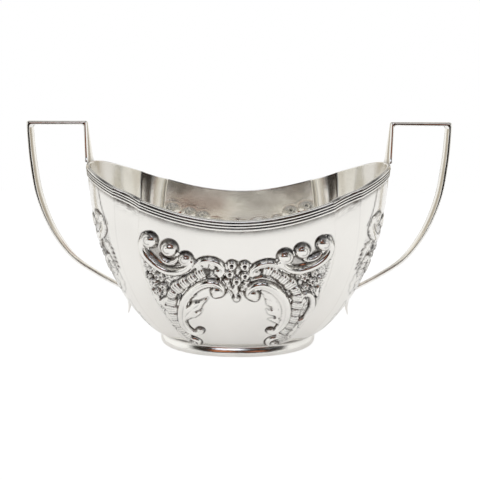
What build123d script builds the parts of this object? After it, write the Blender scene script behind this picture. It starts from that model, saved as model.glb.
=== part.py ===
"""Two-handled silver sugar bowl, oval and boat-shaped, as its separate soldered pieces.

The origin is the middle of the foot, on the table. X runs from handle to handle,
Y across the bowl and Z up. All sizes are in millimetres.
"""
import os
from math import copysign, cos, hypot, pi, sin, sqrt
from build123d import *

# wall of the bowl: height and half length of the plan section there
wall_stations = [
    (4.8, 32.0), (6.6, 35.0), (9.5, 37.9), (14.0, 41.7), (20.0, 45.8), (28.0, 49.8),
    (38.0, 53.4), (48.0, 55.8), (58.0, 57.2), (67.0, 57.7), (77.0, 57.9),
]
wall_thickness = 0.85
foot_half_length = 31.8
foot_half_width = 20.8
width_ratio = 0.615          # gain in half width for each mm of half length above the foot
plan_power = 2.2             # roundness of the plan: 2 is an ellipse, more is squarer

# creases where a panel meets a flute, as a part of the half length, by height
front_crease = [(4.8, 0.53), (12.0, 0.575), (25.0, 0.615), (42.0, 0.625), (56.0, 0.588), (77.0, 0.50)]
end_crease = [(4.8, 0.79), (25.0, 0.80), (42.0, 0.79), (56.0, 0.765), (77.0, 0.715)]
flute_depth = [(4.8, 0.25), (20.0, 0.9), (42.0, 1.3), (77.0, 1.4)]

# rim: a saddle, low at the middle of the long sides and high at the handles
rim_low = 56.4
rim_rise = 0.626
rim_bend = 51.0
band_height = 3.8
band_proud = 1.25

# foot: a coved collet on a plain wire
foot_wire_height = 2.2
foot_wire_width = 2.0
collet_thickness = 0.9
collet_waist_height = 3.5
collet_waist_in = 1.0
collet_lip_in = 0.25

# handles: flat strip with square mitred corners at the top
strip_thickness = 1.4
bar_top = 88.2
root_inner_top = 58.1        # bowl side of the root, at the top corner
root_inner_rim = 57.2        # bowl side of the root, at the rim
corner_outer = 81.3
root_half_width_rim = 4.6
root_overrun = 3.0           # the root runs on below the rim before it is trimmed to it
root_half_width_top = 1.5
bar_half_width_outer = 2.5
strap_outline = [(81.0, 73.4), (79.2, 57.8), (74.0, 43.4), (66.8, 33.2), (57.3, 26.3), (45.4, 19.6)]
strap_half_widths = [(88.2, 2.5), (70.0, 2.85), (55.0, 3.0), (40.0, 2.4), (30.0, 1.6), (18.0, 1.15)]
tail_outer = [(47.7, 21.1), (45.6, 16.4), (45.1, 13.6), (45.5, 10.4)]
tail_inner = [(44.6, 21.1), (43.9, 16.4), (44.0, 13.6), (45.0, 10.4)]
tail_half_widths = [(25.0, 1.35), (17.0, 1.15), (10.0, 0.5)]

reach = 110.0                # longer than any piece, for the cutting prisms
saddle_span = 72.0           # half length of the saddle prism, past both ends of the bowl
band_bottom = 35.0           # the rim wire is lofted from the wall stations above this


def along(table, height):
    """Straight-line reading of a (height, value) table."""
    rows = sorted(table)
    if height <= rows[0][0]:
        return rows[0][1]
    for (low, first), (high, last) in zip(rows, rows[1:]):
        if height <= high:
            return first + (last - first) * (height - low) / (high - low)
    return rows[-1][1]


def half_width(half_length):
    return foot_half_width + width_ratio * (half_length - foot_half_length)


def on_plan(share, length, width):
    """Point of the plan curve at a given share of the half length."""
    return share * length, width * (1 - share**plan_power) ** (1 / plan_power)


def section(height, length, width):
    """Plan section of eight panels: long sides and ends bow out, the corner flutes dish in."""
    front_x, front_y = on_plan(along(front_crease, height), length, width)
    end_x, end_y = on_plan(along(end_crease, height), length, width)
    chord = hypot(end_x - front_x, end_y - front_y)
    dish = along(flute_depth, height)
    flute_x = (front_x + end_x) / 2 - dish * (front_y - end_y) / chord
    flute_y = (front_y + end_y) / 2 - dish * (end_x - front_x) / chord
    side_x, side_y = on_plan(along(front_crease, height) / 2, length, width)
    nose_x = length * (1 - (end_y / 2 / width) ** plan_power) ** (1 / plan_power)
    nose_y = end_y / 2

    quarters = [(1, 1), (-1, 1), (-1, -1), (1, -1)]
    edges = []
    for index, (sx, sy) in enumerate(quarters):
        flute = [(end_x, end_y), (flute_x, flute_y), (front_x, front_y)]
        side = [(front_x, front_y), (side_x, side_y), (0, width), (-side_x, side_y), (-front_x, front_y)]
        nose = [(end_x, end_y), (nose_x, nose_y), (length, 0), (nose_x, -nose_y), (end_x, -end_y)]
        if index % 2:
            flute.reverse()
        panel = side if index % 2 == 0 else nose
        for outline in (flute, panel):
            points = [(sx * x, sy * y, height) for x, y in outline]
            edges.append(Spline(*points))
    return make_face(edges)


def wall_solid(inset):
    """Solid bowl, its wall drawn in by the inset, square to the wall's slope."""
    faces = []
    for index, (height, length) in enumerate(wall_stations):
        below = wall_stations[max(index - 1, 0)]
        above = wall_stations[min(index + 1, len(wall_stations) - 1)]
        slope = (above[1] - below[1]) / (above[0] - below[0])
        step_in = inset / sqrt(1 + slope**2)
        step_up = step_in * slope
        if inset and index == 0:
            height, length = height + inset, along(wall_stations, height + inset)
            step_in, step_up = inset * sqrt(1 + slope**2), 0
        new_length = length - step_in
        new_width = half_width(length) - step_in
        faces.append(section(height + step_up, new_length, new_width))
    return loft(faces)


def band_solid():
    """Solid block of the applied rim wire, before the bowl is taken out of it."""
    faces = []
    for height, length in wall_stations:
        if height > band_bottom:
            faces.append(section(height, length + band_proud, half_width(length) + band_proud))
    return loft(faces)


def rim_height(x):
    return rim_low + rim_rise * (sqrt(x**2 + rim_bend**2) - rim_bend)


def above_saddle(drop):
    """Everything over the saddle of the rim, lowered by the drop."""
    xs = [saddle_span * step / 8 for step in range(-8, 9)]
    edge = Spline(*[(x, 0, rim_height(x) - drop) for x in xs])
    top = Polyline(edge @ 1, (saddle_span, 0, reach), (-saddle_span, 0, reach), edge @ 0)
    face = make_face([edge, top])
    return extrude(face, reach / 2, dir=(0, 1, 0), both=True)


def oval(height, inset):
    """Smooth oval face of the foot, drawn in by the inset."""
    points = []
    for step in range(24):
        turn = 2 * pi * step / 24
        x = abs(cos(turn)) ** (2 / plan_power)
        y = abs(sin(turn)) ** (2 / plan_power)
        px = copysign((foot_half_length - inset) * x, cos(turn))
        py = copysign((foot_half_width - inset) * y, sin(turn))
        points.append((px, py, height))
    return make_face(Spline(*points, periodic=True))


def foot_ring(rows, thickness):
    """Ring lofted through (height, inset) rows, hollow through its middle."""
    outer = [oval(z, inset) for z, inset in rows]
    inner = [oval(z, inset + thickness) for z, inset in rows]
    return loft(outer) - loft(inner)


def across(outline):
    """Outline in the XZ plane, run through the whole width."""
    points = [(x, 0, z) for x, z in outline]
    face = make_face(Polyline(*points, close=True))
    return extrude(face, reach / 2, dir=(0, 1, 0), both=True)


def width_by_height(table):
    """Block that narrows in Y with the height, for tapering a strip."""
    rows = sorted(table)
    points = [(0, half, z) for z, half in rows] + [(0, -half, z) for z, half in reversed(rows)]
    return extrude(make_face(Polyline(*points, close=True)), reach, dir=(1, 0, 0))


def root_corner():
    """Inside corner where the root meets the top bar."""
    lean = (root_inner_top - root_inner_rim) / (bar_top - rim_height(root_inner_rim))
    return root_inner_top + strip_thickness * (1 - lean), bar_top - strip_thickness


def handle_root():
    """Leaning strip on the rim, splayed to a wide seat, mitred at the top."""
    seat = rim_height(root_inner_rim)
    slope_in = (root_inner_top - root_inner_rim) / (bar_top - seat)
    slope_out = (root_half_width_rim - root_half_width_top) / (bar_top - seat)
    low = seat - root_overrun
    low_x = root_inner_rim - slope_in * root_overrun
    outline = [(root_inner_top, bar_top), root_corner(), (low_x + strip_thickness, low), (low_x, low)]
    splay = [(low, root_half_width_rim + slope_out * root_overrun), (bar_top, root_half_width_top)]
    return across(outline) & width_by_height(splay) & above_saddle(0)


def handle_bar():
    """Flat top strip, wider towards its outer corner, mitred at both ends."""
    strap_corner = (corner_outer - strip_thickness, bar_top - strip_thickness)
    outline = [(root_inner_top, bar_top), (corner_outer, bar_top), strap_corner, root_corner()]
    plan = [
        (root_inner_top, root_half_width_top),
        (corner_outer, bar_half_width_outer),
        (corner_outer, -bar_half_width_outer),
        (root_inner_top, -root_half_width_top),
    ]
    face = make_face(Polyline(*[(x, y, 0) for x, y in plan], close=True))
    return across(outline) & extrude(face, reach, dir=(0, 0, 1))


def handle_strap(bowl):
    """Long outer strip, down from the mitred corner and in to the wall."""
    start = (corner_outer, 0, bar_top - strip_thickness)
    outer = Spline(start, *[(x, 0, z) for x, z in strap_outline], tangents=[(0, 0, -1), (-0.86, 0, -0.5)])
    inner_points = []
    for step in range(13):
        place = outer @ (step / 12)
        heading = outer % (step / 12)
        inner_points.append(place + Vector(heading.Z, 0, -heading.X) * strip_thickness)
    inner = Spline(*inner_points)
    corner = Polyline(inner @ 0, (corner_outer, 0, bar_top), start)
    face = make_face([outer, Line(outer @ 1, inner @ 1), inner, corner])
    strip = extrude(face, reach / 2, dir=(0, 1, 0), both=True)
    return (strip & width_by_height(strap_half_widths)) - bowl


def handle_tail(bowl, strap):
    """Thin tapering leaf that carries on below the strap and ends clear of the wall."""
    outer = Spline(*[(x, 0, z) for x, z in tail_outer])
    inner = Spline(*[(x, 0, z) for x, z in tail_inner])
    face = make_face([outer, Line(outer @ 1, inner @ 1), inner, Line(inner @ 0, outer @ 0)])
    leaf = extrude(face, reach / 2, dir=(0, 1, 0), both=True)
    return (leaf & width_by_height(tail_half_widths)) - bowl - strap


bowl_block = wall_solid(0)
body_shell = bowl_block - wall_solid(wall_thickness) - above_saddle(0)

band = (band_solid() - bowl_block - above_saddle(0)) & above_saddle(band_height)
front_half = Pos(0, -reach / 2, 0) * Box(2 * reach, reach, 2 * reach)

collet_top = wall_stations[0][0]
pieces = {
    "body_shell": body_shell,
    "rim_wire_front": band & front_half,
    "rim_wire_back": band - front_half,
    "foot_wire": foot_ring([(0, 0), (foot_wire_height, 0)], foot_wire_width),
    "foot_collet": foot_ring(
        [(foot_wire_height, 0.5), (collet_waist_height, collet_waist_in), (collet_top, collet_lip_in)],
        collet_thickness,
    ),
}

strap = handle_strap(bowl_block)
right_handle = {
    "root": handle_root(),
    "bar": handle_bar(),
    "strap": strap,
    "tail": handle_tail(bowl_block, strap),
}
for name, strip in right_handle.items():
    pieces[f"handle_{name}_right"] = strip
    pieces[f"handle_{name}_left"] = mirror(strip, Plane.YZ)

os.makedirs("parts", exist_ok=True)
for name, shape in pieces.items():
    shape.label = name
    export_step(shape, f"parts/{name}.step")
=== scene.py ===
from math import cos, hypot, pi, radians, sin, tan

import bpy
import numpy as np
from mathutils import Matrix, Vector


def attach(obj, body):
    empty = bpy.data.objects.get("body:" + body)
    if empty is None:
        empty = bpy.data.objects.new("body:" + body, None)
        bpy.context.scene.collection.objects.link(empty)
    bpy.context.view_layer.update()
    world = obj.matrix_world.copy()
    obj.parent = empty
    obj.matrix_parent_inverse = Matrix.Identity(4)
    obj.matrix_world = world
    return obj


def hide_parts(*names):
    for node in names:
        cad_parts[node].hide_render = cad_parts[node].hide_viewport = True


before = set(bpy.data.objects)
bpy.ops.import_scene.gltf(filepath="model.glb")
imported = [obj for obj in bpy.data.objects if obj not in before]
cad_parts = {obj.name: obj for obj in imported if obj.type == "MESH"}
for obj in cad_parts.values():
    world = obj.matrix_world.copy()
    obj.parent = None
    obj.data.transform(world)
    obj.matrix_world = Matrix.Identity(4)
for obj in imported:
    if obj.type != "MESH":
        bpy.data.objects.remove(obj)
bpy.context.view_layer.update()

mm = 0.001
print("frame loaded:", len(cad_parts), "nodes")


# plan and profile of the raised bowl, in millimetres
bowl = {
    "profile": [(4.8, 32), (6.6, 35), (9.5, 37.9), (14, 41.7), (20, 45.8), (28, 49.8),
                (38, 53.4), (48, 55.8), (58, 57.2), (67, 57.7), (77, 57.9)],
    "footLength": 31.8,      # half sizes of the foot oval
    "footWidth": 20.8,
    "widthGain": 0.615,      # half width gained for each mm of half length
    "squareness": 2.2,       # 2 is an ellipse, more is squarer
    "sideCrease": [(4.8, 0.53), (12, 0.575), (25, 0.615), (42, 0.625), (56, 0.588), (77, 0.50)],
    "endCrease": [(4.8, 0.79), (25, 0.80), (42, 0.79), (56, 0.765), (77, 0.715)],
    "fluteDepth": [(4.8, 0.25), (20, 0.9), (42, 1.3), (77, 1.4)],
    "thickness": 0.85,
    "floor": 4.8,
    "rows": 170,             # mesh rows up the wall, an even number
    "endRows": [(0, 0), (0.17, 17), (0.83, 57)],     # share of the rows below each place up an end
    "sideColumns": 221,      # mesh columns over a long side, an end and a flute
    "endColumns": 111,
    "fluteColumns": 14,
    "pushed": 0.9,           # how much of the chasing shows inside
    "floorRings": (0.92, 0.08, 10),
}
rim = {"low": 56.4, "rise": 0.626, "bend": 51.0}


def smoothRead(table, at):
    # smooth curve through a table of places and values
    places, values = np.array(table, float).T
    slopes = np.gradient(values, places)
    at = np.asarray(at, float)
    k = np.clip(np.searchsorted(places, at) - 1, 0, len(places) - 2)
    span = places[k + 1] - places[k]
    t = np.clip((at - places[k]) / span, 0, 1)
    near = (1 + 2 * t) * (1 - t) ** 2 * values[k] + t * (1 - t) ** 2 * span * slopes[k]
    far = t * t * (3 - 2 * t) * values[k + 1] - t * t * (1 - t) * span * slopes[k + 1]
    return near + far


def step(low, high, at):
    t = np.clip((np.asarray(at, float) - low) / (high - low), 0, 1)
    return t * t * (3 - 2 * t)


def rimHeight(x):
    return rim["low"] + rim["rise"] * (np.sqrt(x * x + rim["bend"] ** 2) - rim["bend"])


def halfLength(z):
    return smoothRead(bowl["profile"], z)


def halfWidth(z):
    return bowl["footWidth"] + bowl["widthGain"] * (halfLength(z) - bowl["footLength"])


def ovalOther(share):
    # the other half of a plan point, when one share of its half size is known
    return (1 - np.clip(np.abs(share), 0, 1) ** bowl["squareness"]) ** (1 / bowl["squareness"])


# arc length up the middle of a long side, which the chasing is laid out in
profileZ = np.linspace(bowl["floor"], 80, 400)
profileUp = np.concatenate([[0], np.cumsum(np.hypot(np.diff(profileZ), np.diff(halfWidth(profileZ))))])


def upFrom(z):
    return np.interp(z, profileZ, profileUp)


def zFrom(up):
    return np.interp(up, profileUp, profileZ)


# panels round the bowl: kind, place from one crease to the other, and which corner
def planColumns():
    side = np.linspace(-1, 1, bowl["sideColumns"])
    end = np.linspace(-1, 1, bowl["endColumns"])
    flute = (1 - np.cos(pi * np.arange(1, bowl["fluteColumns"] + 1) / (bowl["fluteColumns"] + 1))) / 2
    parts = [("side", side, 1, -1), ("flute", flute, 1, -1), ("end", end, 1, 1), ("flute", flute[::-1], 1, 1),
             ("side", -side, 1, 1), ("flute", flute, -1, 1), ("end", -end, -1, 1),
             ("flute", flute[::-1], -1, -1)]
    names, panels, signsX, signsY = zip(*parts)
    counts = [len(panel) for panel in panels]
    return (np.repeat(names, counts), np.concatenate(panels), np.repeat(signsX, counts),
            np.repeat(signsY, counts))


kinds, places, signX, signY = planColumns()
columnCount = len(kinds)


def planPoints(z):
    # x and y of the wall at each height, one column of the array for each plan column
    length, width = halfLength(z), halfWidth(z)
    sideShare = smoothRead(bowl["sideCrease"], z)
    endShare = smoothRead(bowl["endCrease"], z)
    dish = smoothRead(bowl["fluteDepth"], z)
    sideX, sideY = sideShare * length, width * ovalOther(sideShare)
    endX, endY = endShare * length, width * ovalOther(endShare)
    chord = np.hypot(endX - sideX, sideY - endY)
    bow = 4 * places * (1 - places) * dish / chord
    fluteX = sideX + (endX - sideX) * places - bow * (sideY - endY)
    fluteY = sideY + (endY - sideY) * places - bow * (endX - sideX)
    alongX, alongY = places * sideX, places * endY
    onEnd, onSide = signX * length * ovalOther(alongY / width), signY * width * ovalOther(alongX / length)
    x = np.where(kinds == "side", alongX, np.where(kinds == "end", onEnd, signX * fluteX))
    y = np.where(kinds == "side", onSide, np.where(kinds == "end", alongY, signY * fluteY))
    return x, y


def rimTop(drop=0.0):
    # height of the rim edge over each plan column, settled from a first guess
    z = np.full(columnCount, 62.0)
    for _ in range(6):
        z = rimHeight(planPoints(z)[0]) - drop
    return z


# mesh rows: even up the long sides, closer together behind the chasing on the ends
topUp = upFrom(rimTop())
endShare = np.where(kinds == "end", 1.0, np.where(kinds == "side", 0.0, places))
rowShare = np.linspace(0, 1, bowl["rows"])[:, None]
evenUp = rowShare * topUp
endShares, endPlaces = zip(*bowl["endRows"])
closeUp = evenUp.copy()
for k in np.nonzero(endShare > 0)[0]:
    closeUp[:, k] = np.interp(rowShare[:, 0], [*endShares, 1], [*endPlaces, topUp[k]])
wallUp = evenUp * (1 - endShare) + closeUp * endShare
wallZ = zFrom(wallUp)
wallX, wallY = planPoints(wallZ)
wallPoint = np.stack([wallX, wallY, wallZ], axis=-1)


def gridNormals(points):
    # outward normals of a grid that closes on itself round the bowl
    around = np.roll(points, -1, axis=1) - np.roll(points, 1, axis=1)
    upward = np.gradient(points, axis=0)
    normal = np.cross(around, upward)
    return normal / np.linalg.norm(normal, axis=-1, keepdims=True)


wallNormal = gridNormals(wallPoint)
print("wall laid out:", bowl["rows"], "x", columnCount)


# chasing tools, in millimetres: each one works a field of across, up and height values
tools = {
    "lineOff": 0.25,         # sunken line round a raised shape: how far off and how wide
    "lineWide": 0.34,
    "lineFade": (0.45, 0.1), # it fades between these heights, over work already raised
    "rubbedAbove": 0.25,     # shapes higher than this keep only a share of the dark
    "rubbedShare": 0.15,
    "blossomHeight": 1.2,
    "petals": 5,
    "eye": 0.24,             # punched middle, as a share of the flower
    "bellHeight": 1.0,
}


def smoothPath(points, pitch=0.3):
    points = np.array(points, float)
    run = np.concatenate([[0], np.cumsum(np.hypot(*np.diff(points, axis=0).T))])
    at = np.linspace(0, run[-1], max(int(run[-1] / pitch), 4) + 1)
    return np.stack([smoothRead(np.stack([run, points[:, k]], axis=1), at) for k in range(2)], axis=1)


def besidePath(field, points, reach):
    # distance to a path, signed place across it and share along it, for the points near it
    path = smoothPath(points)
    low, high = path.min(0) - reach, path.max(0) + reach
    near = np.nonzero((field["across"] > low[0]) & (field["across"] < high[0])
                      & (field["up"] > low[1]) & (field["up"] < high[1]))
    spot = np.stack([field["across"][near], field["up"][near]], axis=1)
    start, run = path[:-1], np.diff(path, axis=0)
    length = np.hypot(*run.T)
    rel = spot[:, None] - start[None]
    t = np.clip((rel * run).sum(-1) / length**2, 0, 1)
    gap = rel - t[..., None] * run
    distance = np.hypot(gap[..., 0], gap[..., 1])
    best = distance.argmin(1)
    pick = np.arange(len(spot))
    before = np.concatenate([[0], np.cumsum(length)])
    along = before[best] + t[pick, best] * length[best]
    cross = run[best, 0] * gap[pick, best, 1] - run[best, 1] * gap[pick, best, 0]
    return near, distance[pick, best], np.sign(cross), along, before[-1]


def darken(field, near, amount):
    field["dark"][near] = np.maximum(field["dark"][near], amount)


def outline(field, near, outside, depth, stainAndShade=0.95):
    # sunken line close round a raised shape, darkened with oxide in the line together with painted shade
    cut = np.exp(-((outside - tools["lineOff"]) / tools["lineWide"]) ** 2) * (outside > 0)
    cut = cut * step(*tools["lineFade"], field["height"][near])
    field["height"][near] -= depth * cut
    darken(field, near, stainAndShade * cut)


def lift(field, near, height, inside):
    # raises a shape over what is there, and rubs the dark off it
    before, darkBefore = field["height"][near], field["dark"][near]
    field["height"][near] = np.where(inside, np.maximum(before, height), before)
    rubbed = inside & (height > tools["rubbedAbove"])
    field["dark"][near] = np.where(rubbed, darkBefore * tools["rubbedShare"], darkBefore)


def scroll(field, points, width, height, heads, hollow, side):
    # rounded band along a path, hollowed along one side, with thinner heads
    near, distance, hand, along, total = besidePath(field, points, width + 1.2)
    share = along / total
    half = width * (heads[0] + (1 - heads[0]) * step(0, 0.3, share))
    half = half * (heads[1] + (1 - heads[1]) * step(0, 0.3, 1 - share))
    place = distance / half
    crown = np.sqrt(np.clip(1 - place**2, 0, 1))
    dip = hollow * np.exp(-((place * hand * side - 0.35) / 0.33) ** 2)
    outline(field, near, distance - half, 0.28)
    lift(field, near, height * (crown - dip) * np.sqrt(half / width), place < 1)


def roundSpot(field, x, up, reach):
    # the points near a centre, how far each one is, and its place across and up from the centre
    across, above = field["across"] - x, field["up"] - up
    away = np.hypot(across, above)
    near = np.nonzero(away < reach)
    return near, away[near], across[near], above[near]


def ball(field, x, up, radius, height):
    # domed volute with a curl chased round its middle
    near, away, across, above = roundSpot(field, x, up, radius + 1.2)
    place = away / radius
    upward = above / np.maximum(away, 0.1)
    # painted shade: the line round the ball is darker on its upper side than below
    outline(field, near, away - radius, 0.32, 0.35 + 0.6 * step(-0.5, 0.3, upward))
    lift(field, near, height * np.sqrt(np.clip(1 - place**2, 0, 1)), place < 1)
    # painted shade along the upper edge of the ball
    darken(field, near, 0.8 * (step(0.7, 0.95, place) * step(0.0, 0.6, upward) * (place < 1)))
    if radius > 2.3:                                 # only the large ones have a curl
        turn = np.arctan2(above, np.sign(x) * across)
        curl = np.exp(-((place - 0.5 - 0.06 * turn) / 0.085) ** 2) * step(2.9, 2.4, np.abs(turn + 0.3))
        curl = curl * step(-0.2, 0.5, turn + 2.2)
        field["height"][near] -= 0.16 * height * curl
        darken(field, near, 0.55 * curl)


def blossom(field, x, up, radius):
    # small flower: petals round a punched eye
    height = tools["blossomHeight"]
    near, away, across, above = roundSpot(field, x, up, radius * 1.4 + 0.8)
    angle = np.arctan2(above, across) * tools["petals"] + (x + up)
    edge = radius * (0.8 + 0.2 * np.cos(angle))
    place = away / edge
    outline(field, near, away - edge, 0.2, 0.6)
    petal = height * np.sqrt(np.clip(1 - place**4, 0, 1)) * (0.8 + 0.2 * np.cos(angle))
    lift(field, near, petal, place < 1)
    punch = np.exp(-(away / (tools["eye"] * radius)) ** 2)
    field["height"][near] -= 0.8 * height * punch
    darken(field, near, punch)


def bell(field, x, up, radius):
    # small round flower head: a raised ring round a deep punched hole
    near, away = roundSpot(field, x, up, radius + 1.0)[:2]
    place = away / radius
    ring = tools["bellHeight"] * np.sqrt(np.clip(1 - ((place - 0.6) / 0.42) ** 2, 0, 1))
    outline(field, near, away - radius, 0.3)
    lift(field, near, ring, (place < 1) & (place > 0.2))
    punch = np.exp(-(place / 0.3) ** 4)
    field["height"][near] = field["height"][near] * (1 - punch) - 0.2 * punch
    darken(field, near, punch)


def shellBand(field, points, width, height, pitch, ribs, heads=(0.8, 0.6)):
    # row of small ruffled pads, each with fine ribs across the band
    near, distance, hand, along, total = besidePath(field, points, width + 0.8)
    half = width * (heads[0] + (1 - heads[0]) * step(0, 0.25, along / total))
    half = half * (heads[1] + (1 - heads[1]) * step(0, 0.4, 1 - along / total))
    count = max(round(total / pitch), 1)
    local = along / total * count
    number = np.floor(local)
    local = local - number - 0.5
    edge = half * (1 - 0.7 * local**2) * (0.94 + 0.16 * np.sin(4.1 * number + 1.3))
    place = distance / edge
    rib = 0.5 + 0.5 * np.cos(2 * pi * ribs * local)
    pad = (1 - np.clip(place, 0, 1) ** 4) * (0.45 + 0.55 * step(0.5, 0.32, np.abs(local)))
    outline(field, near, distance - edge, 0.15, 0.6)
    lift(field, near, height * pad * (0.7 + 0.3 * rib + 0.2 * place * hand), place < 1)
    gap = step(0.43, 0.49, np.abs(local)) * (place < 1)
    field["height"][near] -= 0.1 * gap
    darken(field, near, 0.95 * gap)
    darken(field, near, 0.4 * (1 - rib) ** 3 * (place < 0.9))


def leaf(field, points, width, height, lobes):
    # pointed leaf with a sunken midrib and lobed edges
    near, distance, _, along, total = besidePath(field, points, width + 1.0)
    share = along / total
    half = width * np.sin(pi * np.clip(share, 0.04, 0.985) ** 0.75)
    half = half * (0.85 + 0.15 * np.cos(2 * pi * lobes * share))
    place = distance / np.maximum(half, 0.1)
    vein = 0.3 * np.exp(-(distance / 0.25) ** 2)
    sideVein = 0.14 * (0.5 + 0.5 * np.cos(2 * pi * (lobes * share - 0.5 * place)))
    outline(field, near, distance - half, 0.16, 0.3)
    lift(field, near, height * (np.sqrt(np.clip(1 - place**3, 0, 1)) - vein - sideVein), place < 1)


def line(field, points, width, depth):
    # chased line: a narrow groove with a burr on each side
    near, distance = besidePath(field, points, width * 3)[:2]
    groove = np.exp(-(distance / width) ** 2)
    burr = 0.35 * np.exp(-((distance / width - 1.6) / 0.6) ** 2)
    field["height"][near] += depth * (burr - groove)
    darken(field, near, 0.7 * groove)


def dots(field, points, pitch, radius, depth):
    # row of punched dots
    for x, up in smoothPath(points, pitch):
        near, away = roundSpot(field, x, up, radius * 2.5)[:2]
        punch = np.exp(-(away / radius) ** 2)
        field["height"][near] -= depth * punch
        darken(field, near, punch)


def insideShape(field, points, soft):
    # soft mask of a closed outline
    path = smoothPath(list(points) + [points[0]], 0.8)
    inside = np.zeros(field["across"].shape, bool)
    nearest = np.full(field["across"].shape, 99.0)
    across, above = field["across"], field["up"]
    for (ax, au), (bx, bu) in zip(path[:-1], path[1:]):
        crosses = (au > above) != (bu > above)
        rise = bu - au if abs(bu - au) > 1e-9 else 1e-9
        inside ^= crosses & (across < (bx - ax) * (above - au) / rise + ax)
        run = max((bx - ax) ** 2 + (bu - au) ** 2, 1e-9)
        t = np.clip(((across - ax) * (bx - ax) + (above - au) * (bu - au)) / run, 0, 1)
        gap = np.hypot(across - ax - t * (bx - ax), above - au - t * (bu - au))
        nearest = np.minimum(nearest, gap)
    return step(-soft, soft, np.where(inside, nearest, -nearest))


def matting(field, points, depth, grain):
    # sunken ground, matted with a small round punch
    mask = insideShape(field, points, 0.5)
    x, up = field["across"], field["up"]
    pits = np.sin(5.3 * x + 1.7 * np.sin(2.1 * up)) * np.sin(5.9 * up + 1.9 * np.sin(1.7 * x))
    pits = pits + 0.6 * np.sin(8.1 * x - 2.0 * up) * np.sin(7.3 * up + 1.1 * x)
    field["height"] -= mask * (depth + grain * np.clip(pits, -1, 1))
    field["dark"] = np.maximum(field["dark"], mask * np.clip(1.1 * pits - 0.15, 0, 1))


def pool(field, points, depth):
    # smooth hollow between two raised scrolls
    mask = insideShape(field, points, 1.7)
    field["height"] = field["height"] * (1 - mask) - depth * mask
    field["dark"] = np.maximum(field["dark"] * (1 - mask), 0.45 * mask)


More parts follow.
